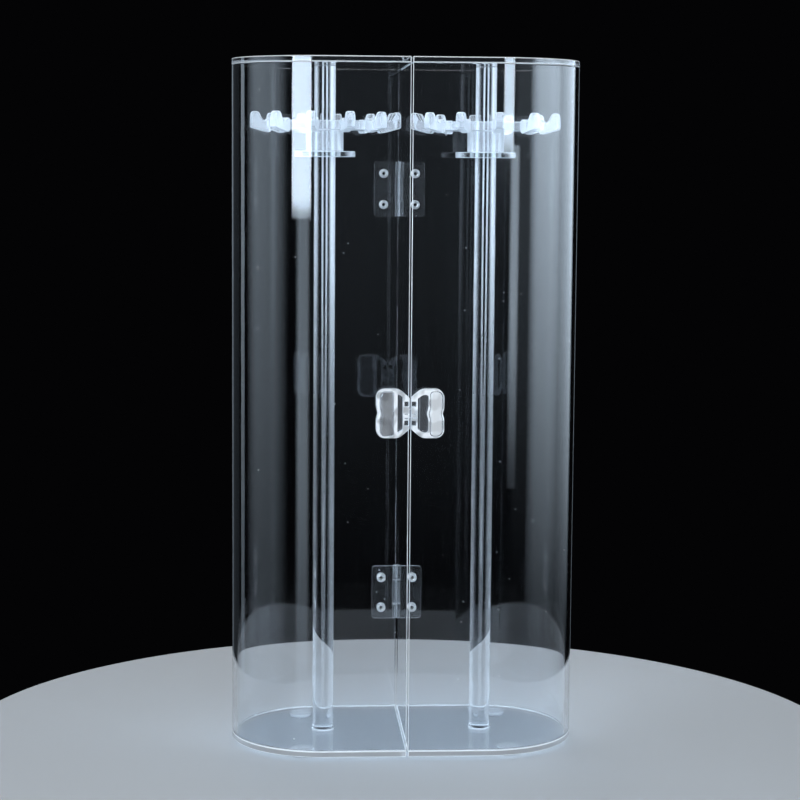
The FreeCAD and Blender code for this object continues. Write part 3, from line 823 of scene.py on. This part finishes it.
def piped_rims(recipe, place):
    """Painted light on a rod: pale rims, paler near its top and wider on its right, and two thin highlight
    lines near its middle.
    """
    across = part_of(recipe, place, "X")
    from_axis = across - ((across > 0.0) * 2.0 - 1.0) * POST_LINE
    # Painted light from the right: the pale rim is wider on the right side of each post
    lit_from_right = (from_axis > 0.0) * from_axis * (1.0 / POST_RADIUS)
    turned_away = facing_away(recipe)
    widened_by_light = turned_away + lit_from_right * RIGHT_LIGHT_WIDENING
    rim = soft_step(recipe, widened_by_light, RIM_START, RIM_START + RIM_WIDTH, 0.0, RIM_LEVEL)
    # Two thin painted highlight lines near the middle of the rod
    lines = (turned_away > HIGHLIGHT_LINE_START) * (turned_away < HIGHLIGHT_LINE_END)
    # Painted light from above: the rims are paler towards the top
    light = soft_step(recipe, part_of(recipe, place, "Z"), DIM_BELOW, BRIGHT_FROM, LOW_LIGHT, TOP_LIGHT)
    return (rim + lines * HIGHLIGHT_LINE_LEVEL) * light


rod_clear = clear_plastic("clear_acrylic_rod", (0.95, 0.975, 1.0), polish=0.008, wear=0.7, pale=piped_rims)
print("finish of the posts:", rod_clear.name)

# %% Posts and cement
CEMENT_HEIGHT = 1.6 * MM
# Millimetres off the post, share of the height
CEMENT_OUTLINE = [(0.02, 0.0), (0.45, 0.0), (0.4, 0.35), (0.18, 0.7), (0.05, 1.0), (0.02, 1.0)]


def stand(bm, side):
    """Move a piece made about the Z axis to its post."""
    bmesh.ops.translate(bm, verts=bm.verts, vec=(SIDES[side] * POST_LINE, 0, 0))


def revolve(bm, points, steps):
    """Closed solid of revolution about Z from its profile of (radius, height)."""
    spin(bm, profile(bm, points), (0, 0, 0), 2 * math.pi, steps, merge=True)
    bmesh.ops.remove_doubles(bm, verts=bm.verts, dist=WELD)


def make_post(side):
    """Solid rod with its ring of cement."""
    low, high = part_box(f"{side}_post")
    bm = bmesh.new()
    rod(bm, POST_RADIUS, low.z + AIR, high.z - AIR, segments=96)
    for face in bm.faces:
        is_end = abs(face.normal.z) > 0.5
        face.material_index = int(is_end)
    stand(bm, side)
    finishes = [rod_clear, sheet_clear]
    post = finish(bm, f"{side}_rod", f"{side}_case", [f"{side}_post"], finishes, rounding=0.2)
    ring = bmesh.new()
    floor_top = low.z + AIR
    points = [(POST_RADIUS + out * MM, floor_top + up * CEMENT_HEIGHT) for out, up in CEMENT_OUTLINE]
    revolve(ring, points, steps=64)
    for face in ring.faces:
        thin = face.calc_center_median().z > floor_top + 0.4 * CEMENT_HEIGHT
        face.material_index = int(thin)
    stand(ring, side)
    finish(ring, f"{side}_cement_ring", f"{side}_case", [], [cement, sheet_clear], rounding=0)
    return post


posts = [make_post(side) for side in SIDES]
print("posts:", [post.name for post in posts])

# %% [markdown]
# ## Stopper discs
#
# Under each hook disc a flat ring of sheet is cemented to the post. It is a spun rectangle with its
# edges broken.

# %% Stopper discs
def make_stopper(side):
    """Flat ring on the post."""
    node = f"{side}_stopper_disc"
    low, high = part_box(node)
    radius = (high.x - low.x) / 2
    bm = bmesh.new()
    bore = POST_RADIUS + AIR
    revolve(bm, [(bore, low.z), (radius, low.z), (radius, high.z), (bore, high.z)], steps=96)
    stand(bm, side)
    finishes = [ring_clear, edge_highlight]
    return finish(bm, f"{side}_stopper_ring", f"{side}_case", [node], finishes)


stoppers = [make_stopper(side) for side in SIDES]
print("stopper discs:", [piece.name for piece in stoppers])

# %% [markdown]
# ## Hook discs
#
# A hook disc is moulded in one: a hub that turns on the post, a flat middle and twelve arms that turn up
# at their ends, with a round notch behind each tip. One twelfth is modelled and spun round.
# The slice is the disc's own profile, swept in three goes so that its middle faces are as wide as an
# arm. Those faces are extruded outwards in small steps that follow the arm's outline. The tip is then
# rounded, and twelve copies close to one mesh.

# %% Arm outline
HOOKS = 12
HOOK_WIDTH = 4.2 * MM
DISC_RADIUS = 28 * MM
HUB_RADIUS = 9.2 * MM
HUB_HEIGHT = 10.3 * MM
DISC_THICKNESS = 4.4 * MM
BORE_RADIUS = 5.33 * MM
TIP_START = 33.0 * MM
TIP_RISE = 1.4 * MM
TIP_ROUNDING = 1.1 * MM
# In millimetres: distance from the axis, underside above the disc's underside, upper side above its top
ARM = [
    (28.9, -1.4, 1.15), (29.9, -1.2, 0.45), (31.1, -0.93, -0.5), (32.3, -0.6, -0.1),
    (33.2, -0.36, 1.5), (33.8, -0.19, 3.0), (34.5, 0.0, 4.0), (35.4, 0.25, 4.2),
    (36.7, 0.6, 4.2), (37.5, 0.95, 3.7), (37.8, 1.5, 2.9),
]
print("an arm reaches", ARM[-1][0], "mm and rises", max(over for reach, under, over in ARM), "mm")


# %% Hook discs
def arm_face(bm):
    """The slice's two outer faces that an arm grows from."""
    found = []
    for face in bm.faces:
        middle = face.calc_center_median()
        if abs(middle.y) < HOOK_WIDTH / 2 and middle.x > DISC_RADIUS * 0.99 and abs(face.normal.z) < 0.5:
            found.append(face)
    return found


def make_hook_disc(side, angle):
    """Moulded disc with its hub and twelve arms."""
    node = f"{side}_hook_disc"
    low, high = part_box(node)
    hub_low = low.z
    disc_low = hub_low + HUB_HEIGHT
    disc_top = disc_low + DISC_THICKNESS
    outline = [
        (BORE_RADIUS, hub_low), (HUB_RADIUS, hub_low), (HUB_RADIUS, disc_low),
        (DISC_RADIUS, disc_low), (DISC_RADIUS, disc_top), (BORE_RADIUS, disc_top),
    ]
    bm = bmesh.new()
    last = profile(bm, outline)
    slice_angle = 2 * math.pi / HOOKS
    arm_angle = 2 * math.asin(HOOK_WIDTH / 2 / DISC_RADIUS)
    side_angle = (slice_angle - arm_angle) / 2
    bmesh.ops.rotate(bm, verts=bm.verts, cent=(0, 0, 0), matrix=Matrix.Rotation(-slice_angle / 2, 3, "Z"))
    for sweep, steps in ((side_angle, 3), (arm_angle, 2), (side_angle, 3)):
        last = spin(bm, last, (0, 0, 0), sweep, steps)
    bmesh.ops.recalc_face_normals(bm, faces=bm.faces)
    faces = arm_face(bm)
    for reach, under, over in ARM:
        faces, verts = extrude_faces(bm, faces)
        middle_height = sum(vert.co.z for vert in verts) / len(verts)
        for vert in verts:
            upper = vert.co.z > middle_height
            vert.co.x = reach * MM
            vert.co.z = disc_top + over * MM if upper else disc_low + under * MM
    tip_edges = []
    for edge in bm.edges:
        outer = min(vert.co.x for vert in edge.verts) > TIP_START
        beside = min(abs(vert.co.y) for vert in edge.verts) > HOOK_WIDTH * 0.4
        raised = min(vert.co.z for vert in edge.verts) > disc_top + TIP_RISE
        if outer and beside and raised:
            tip_edges.append(edge)
    round_edges(bm, tip_edges, TIP_ROUNDING, segments=4)
    copies = bm.verts[:] + bm.edges[:] + bm.faces[:]
    bmesh.ops.spin(
        bm, geom=copies, cent=(0, 0, 0), axis=(0, 0, 1), angle=2 * math.pi * (HOOKS - 1) / HOOKS,
        steps=HOOKS - 1, use_duplicate=True,
    )
    bmesh.ops.rotate(bm, verts=bm.verts, cent=(0, 0, 0), matrix=Matrix.Rotation(angle, 3, "Z"))
    stand(bm, side)
    name = f"{side}_moulded_hooks"
    return finish(
        bm, name, f"{side}_disc", [node], [moulded_milky], rounding=0.45, steps=3, sharp=38
    )


hook_discs = [make_hook_disc("left", math.radians(18)), make_hook_disc("right", math.radians(4.5))]
print("hook disc faces:", [len(disc.data.polygons) for disc in hook_discs])

# %% [markdown]
# ## Bumper feet
#
# Small soft clear bumpers, stuck under the floor. Each is a low dome, spun from its profile.

# %% Feet
def make_foot(side, end):
    """Soft bumper under the floor."""
    node = f"{side}_{end}_foot"
    low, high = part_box(node)
    radius = (high.x - low.x) / 2
    top = high.z - AIR
    points = [
        (0.0, 0.0), (radius * 0.45, 0.0), (radius * 0.72, 0.1 * MM), (radius * 0.88, 0.35 * MM),
        (radius * 0.97, 0.8 * MM), (radius, 1.4 * MM), (radius, top), (0.0, top),
    ]
    bm = bmesh.new()
    revolve(bm, points, steps=48)
    bmesh.ops.translate(bm, verts=bm.verts, vec=((low.x + high.x) / 2, (low.y + high.y) / 2, 0))
    name = f"{side}_{end}_bumper"
    return finish(
        bm, name, f"{side}_case", [node], [soft_plastic], rounding=0.1, sharp=50
    )


feet = [make_foot(side, end) for side in SIDES for end in ("front", "back")]
print("feet:", len(feet))

# %% [markdown]
# ## Hinge leaves
#
# A leaf is a small moulded plate whose knuckles curl round the pin. It starts as a block in five bands,
# so that the bands of its knuckles can be drawn to the pin and then spun round it, which gives the
# curl, and the others stay short. Its outer corners are round, and the rivet holes are drilled.

# %% Leaf sizes from the frame
LEAF_THICKNESS = 1.6 * MM
LEAF_INNER = 2.3 * MM
LEAF_OUTER = 13 * MM
LEAF_HEIGHT = 28 * MM
LEAF_CORNER = 1.8 * MM
KNUCKLE = 2.0 * MM
MIDDLE_KNUCKLE = 12.6 * MM
KNUCKLE_GAP = 0.3 * MM
PIN_RADIUS = 0.8 * MM
PIN_PLAY = 0.08 * MM
PIN_LINE = OUTER_RADIUS + 2.2 * MM
CURL_ANGLE = math.radians(335)
CURL_STEPS = 28
SAME_PLACE = 0.001 * MM
print("pins stand behind the walls by", PIN_LINE - OUTER_RADIUS)


# %% Leaves
def make_leaf(hinge, side):
    """Leaf with its curled knuckles."""
    turn = SIDES[side]
    middle = hinge_middle[hinge]
    low_y, high_y = OUTER_RADIUS + AIR, OUTER_RADIUS + LEAF_THICKNESS
    half = LEAF_HEIGHT / 2
    inner_cut, outer_cut = MIDDLE_KNUCKLE / 2, MIDDLE_KNUCKLE / 2 + KNUCKLE_GAP
    bm = bmesh.new()
    corners = [(low_y, -half), (high_y, -half), (high_y, half), (low_y, half)]
    end = bm.faces.new([bm.verts.new((turn * LEAF_OUTER, y, middle + z)) for y, z in corners])
    draw_out(bm, [end], (turn * (LEAF_INNER - LEAF_OUTER), 0, 0), keep=True)
    corner_edges = []
    for edge in bm.edges:
        at_end = all(abs(abs(vert.co.x) - LEAF_OUTER) < SAME_PLACE for vert in edge.verts)
        runs_through = abs(edge.verts[0].co.y - edge.verts[1].co.y) > SAME_PLACE
        if at_end and runs_through:
            corner_edges.append(edge)
    round_edges(bm, corner_edges, LEAF_CORNER, segments=6)
    for level in (-outer_cut, -inner_cut, inner_cut, outer_cut):
        everything = bm.verts[:] + bm.edges[:] + bm.faces[:]
        bmesh.ops.bisect_plane(bm, geom=everything, plane_co=(0, 0, middle + level), plane_no=(0, 0, 1))
    knuckles = []
    for face in bm.faces:
        centre = face.calc_center_median()
        if abs(abs(centre.x) - LEAF_INNER) > SAME_PLACE:
            continue
        height = abs(centre.z - middle)
        if (side == "left" and height > outer_cut) or (side == "right" and height < inner_cut):
            knuckles.append(face)
    bore = PIN_RADIUS + PIN_PLAY
    faces, verts = extrude_faces(bm, knuckles)
    for vert in verts:
        inner = vert.co.y < (low_y + high_y) / 2
        vert.co.x = 0.0
        vert.co.y = PIN_LINE - KNUCKLE if inner else PIN_LINE - bore
    bend_faces(bm, faces, (0, PIN_LINE, 0), -turn * CURL_ANGLE, CURL_STEPS)
    clean(bm)
    blank = object_from(bm, "blank")
    drilled = cut(blank, drills(side, SHANK + AIR, OUTER_RADIUS - MM, OUTER_RADIUS + 4 * MM, [hinge]))
    return finish(
        drilled, f"{hinge}_{side}_hinge_leaf", f"{side}_case", [f"{hinge}_hinge_{side}_leaf"],
        [leaf_clear, edge_highlight], sharp=40,
    )


leaves = [make_leaf(hinge, side) for hinge in HINGES for side in SIDES]
print("leaf faces:", [len(leaf.data.polygons) for leaf in leaves])

# %% [markdown]
# ## Hinge pins and rivets
#
# The pin is a short steel wire with its ends rounded. A hollow rivet is a thin tube through wall and
# leaf whose ends are rolled outwards, so its profile is two small round lips joined by a thin wall.

# %% Pins
def make_pin(hinge):
    """Steel pin in the knuckles."""
    node = f"{hinge}_hinge_pin"
    low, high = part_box(node)
    bm = bmesh.new()
    rod(bm, PIN_RADIUS, low.z, high.z, segments=32)
    bmesh.ops.translate(bm, verts=bm.verts, vec=(0, PIN_LINE, 0))
    name = f"{hinge}_steel_pin"
    return finish(bm, name, "left_case", [node], [steel], rounding=0.25, steps=3)


pins = [make_pin(hinge) for hinge in HINGES]
print("pins:", len(pins))


# %% Rivets
RIVET_BORE = 0.85 * MM
RIVET_LIP = 2.3 * MM
RIVET_RIM = 0.45 * MM


def make_rivet(hinge, side, row):
    """Hollow rivet with its rolled lips."""
    node = f"{hinge}_hinge_{side}_{row}_rivet"
    low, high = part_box(node)
    rolled_lip = [
        (RIVET_BORE, RIVET_RIM * 0.9), (RIVET_BORE + 0.12 * MM, RIVET_RIM * 0.35),
        (RIVET_BORE + 0.4 * MM, RIVET_RIM * 0.05), (RIVET_BORE + 0.75 * MM, 0.0),
        (RIVET_LIP - 0.3 * MM, RIVET_RIM * 0.18), (RIVET_LIP - 0.06 * MM, RIVET_RIM * 0.5),
        (RIVET_LIP, RIVET_RIM * 0.8), (RIVET_LIP - 0.06 * MM, RIVET_RIM - AIR),
        (SHANK, RIVET_RIM - AIR),
    ]
    front = [(radius, low.y + depth) for radius, depth in rolled_lip]
    back = [(radius, high.y - depth) for radius, depth in reversed(rolled_lip)]
    bm = bmesh.new()
    revolve(bm, front + back, steps=48)
    middle = ((low.x + high.x) / 2, 0.0, (low.z + high.z) / 2)
    bmesh.ops.transform(bm, verts=bm.verts, matrix=Matrix.Translation(middle) @ LIE_DOWN)
    name = f"{hinge}_{side}_{row}_hollow_rivet"
    return finish(bm, name, f"{side}_case", [node], [nickel], rounding=0)


rivets = [make_rivet(hinge, side, row) for hinge in HINGES for side in SIDES for row in ("top", "bottom")]
print("rivets:", len(rivets))

# %% [markdown]
# ## Clasp
#
# The clasp is a clear bow: two wings, each with a crowned pad for a finger, a deep recess beside it, and
# half of the knot in the middle, where a tongue on the left wing snaps into a socket in the right one.
# Each wing starts from its outline as one face, whose corners are rounded as vertices before it is drawn
# out. Its front rim gets a wide bevel, recesses and windows are cut with Booleans, and the pad is a face
# with a waist that is inset and raised a few times, which makes it a lens.

# %% Clasp sizes
CLASP_MIDDLE = sum(corner.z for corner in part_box("left_clasp_wing")) / 2
WING_DEPTH = 5.2 * MM
KNOT_DEPTH = 4.9 * MM
CUTTER_TOP = 7 * MM
WING_RIM = 0.75 * MM
PAD_FOOT = 1.2 * MM
MOAT_DEPTH = 0.7 * MM
WINDOW_DEPTH = 2.6 * MM
GROOVE_DEPTH = 1.2 * MM
TONGUE_FRONT = 3.2 * MM
TONGUE_BACK = 1.6 * MM
SNAP_PLAY = 0.3 * MM
# The left pad takes the pad finish with painted shade, the right pad the one with painted light
PAD_LIGHT_AND_SHADE = {"left": 2, "right": 3}
print("clasp middle at", CLASP_MIDDLE)

# %% Clasp outlines
def mirrored(points):
    """The lower half of an outline and its mirror image above the middle."""
    return points + [(x, -z, rounding) for x, z, rounding in reversed(points) if z]


# In millimetres, apart from how deep the floors of the pits lie. Each step of the crown goes inwards and
# up. A point of an outline has its distance from the seam, its height from the clasp's middle and the
# rounding of its corner
CROWN = [(0.1, 0.28), (0.25, 0.26), (0.4, 0.15), (0.5, 0.08), (0.35, 0.03)]
MOAT_WIDTH = 0.3
WINDOW_LEVELS = (-4.6, 4.6)
WINDOW_HALF = 1.3
GROOVE_LEVELS = (-0.2, -2.2)
GROOVE_HALF = 0.25
OUTLINE = mirrored(
    [(0.4, -7.5, 0.0), (5.4, -11.8, 2.0), (16.4, -11.8, 4.2), (16.4, -2.6, 1.2), (15.5, 0.0, 0.8)]
)
STEP = mirrored([(0.0, -12.0, 0.0), (3.4, -12.0, 0.0)])
WIDE_PIT = mirrored(
    [(3.5, -7.4, 0.4), (6.0, -9.2, 1.0), (8.8, -9.2, 1.4), (8.8, -2.8, 1.2), (7.9, 0.0, 0.8)]
)
DEEP_PIT = mirrored([(3.5, -7.2, 0.3), (4.7, -8.0, 0.3)])
NARROW_PIT = [(3.5, -7.7, 0.5), (6.2, -9.5, 0.9), (6.2, 9.7, 0.9), (3.5, 8.0, 0.5)]
PITS = {"left": [(NARROW_PIT, 1.6 * MM)], "right": [(WIDE_PIT, 2.6 * MM), (DEEP_PIT, 1.4 * MM)]}
PADS = {
    "left": mirrored([
        (7.8, 0.0, 0.9), (8.3, -2.6, 1.4), (8.0, -10.7, 1.8), (14.4, -10.7, 2.6), (14.6, -2.6, 1.4),
        (13.9, 0.0, 0.9),
    ]),
    "right": mirrored([
        (9.0, 0.0, 0.9), (9.9, -2.6, 1.4), (9.7, -10.6, 1.8), (15.3, -10.6, 2.6), (15.4, -2.6, 1.4),
        (14.6, 0.0, 0.9),
    ]),
}
print("a wing reaches", max(x for x, z, rounding in OUTLINE), "mm from the seam")


# %% Clasp helpers
def plan_face(bm, side, points, y):
    """Face across Y from (x, z, rounding) points in millimetres."""
    turn = SIDES[side]
    verts = [bm.verts.new((turn * x * MM, y, CLASP_MIDDLE + z * MM)) for x, z, rounding in points]
    face = bm.faces.new(verts)
    for size in sorted({rounding for x, z, rounding in points} - {0.0}):
        chosen = [vert for vert, point in zip(verts, points) if point[2] == size]
        bmesh.ops.bevel(
            bm, geom=chosen, offset=size * MM, offset_type="OFFSET", segments=6, profile=0.5,
            affect="VERTICES", clamp_overlap=True, material=-1,
        )
    return face


def prism(side, points, front, back):
    """Prism along Y between two depths off the front of the case; its front face comes back too."""
    bm = bmesh.new()
    plan_face(bm, side, points, -OUTER_RADIUS - back)
    faces = draw_out(bm, bm.faces[:], (0, back - front, 0), keep=True)
    bmesh.ops.recalc_face_normals(bm, faces=bm.faces)
    return bm, faces


def block(side, points, front, back):
    """Prism as an object, to cut with or to join."""
    return object_from(prism(side, points, front, back)[0], "block")


def carve(wing, tool, operation="DIFFERENCE"):
    """The wing after one more cut or join."""
    return object_from(cut(wing, tool, operation), "wing", MOULDING)


def make_pad(side):
    """Crowned pad with a waist."""
    bm, faces = prism(side, PADS[side], WING_DEPTH, WING_DEPTH - PAD_FOOT)
    for inwards, raised in CROWN:
        bmesh.ops.inset_region(
            bm, faces=faces, thickness=inwards * MM, depth=raised * MM, use_even_offset=True,
            use_boundary=True,
        )
    # Painted shade on the left pad, painted light on the right one
    for face in bm.faces:
        face.material_index = PAD_LIGHT_AND_SHADE[side]
    return object_from(bm, "pad", MOULDING)


def moat(side):
    """The pad's outline, grown a little."""
    middle = sum(x for x, z, rounding in PADS[side]) / len(PADS[side])
    grown = []
    for x, z, rounding in PADS[side]:
        upward = math.copysign(MOAT_WIDTH, z) if z else 0.0
        grown.append((x + math.copysign(MOAT_WIDTH, x - middle), z + upward, rounding))
    return grown


def slot(left, right, level, half):
    """Rectangle that reaches half its height above and below a level, with square corners."""
    low, high = level - half, level + half
    return [(left, low, 0.0), (right, low, 0.0), (right, high, 0.0), (left, high, 0.0)]


print("the moat round a pad is", MOAT_WIDTH, "mm wide")


# %% Wings
def make_wing(side):
    """One wing of the bow with its half of the knot."""
    bm, faces = prism(side, OUTLINE, WING_DEPTH, AIR)
    rim = [edge for edge in faces[0].edges if max(abs(vert.co.x) for vert in edge.verts) > NEAR_EDGE]
    # The rounded rim takes the finish with painted light
    for face in round_edges(bm, rim, WING_RIM, segments=3):
        face.material_index = BRIGHT
    wing = object_from(bm, "wing", MOULDING)
    hollows = [(STEP, KNOT_DEPTH), *PITS[side]]
    hollows += [(slot(0.6, 2.9, level, WINDOW_HALF), KNOT_DEPTH - WINDOW_DEPTH) for level in WINDOW_LEVELS]
    hollows += [(slot(0.7, 2.8, level, GROOVE_HALF), KNOT_DEPTH - GROOVE_DEPTH) for level in GROOVE_LEVELS]
    hollows.append((moat(side), WING_DEPTH - MOAT_DEPTH))
    for points, floor_depth in hollows:
        wing = carve(wing, block(side, points, CUTTER_TOP, floor_depth))
    wing = carve(wing, make_pad(side), "UNION")
    if side == "left":
        # The tongue reaches across the seam, so it is drawn on the right half's side
        bm = cut(wing, block("right", slot(-2.0, 2.9, 0.0, 2.0), TONGUE_FRONT, TONGUE_BACK), "UNION")
    else:
        socket = slot(0.0, 3.2, 0.0, 2.3)
        bm = cut(wing, block(side, socket, TONGUE_FRONT + SNAP_PLAY, TONGUE_BACK - SNAP_PLAY))
    # Painted light: the front faces of the wing and of the knot take the paler finish
    for face in bm.faces:
        depth = -OUTER_RADIUS - face.calc_center_median().y
        at_front = min(abs(depth - WING_DEPTH), abs(depth - KNOT_DEPTH)) < 0.01 * MM
        if face.normal.y < -0.99 and at_front:
            face.material_index = BRIGHT
    node = f"{side}_clasp_wing"
    return finish(bm, f"{side}_bow_wing", f"{side}_case", [node], MOULDING, rounding=0.2)


wings = [make_wing(side) for side in SIDES]
print("wing faces:", [len(wing.data.polygons) for wing in wings])
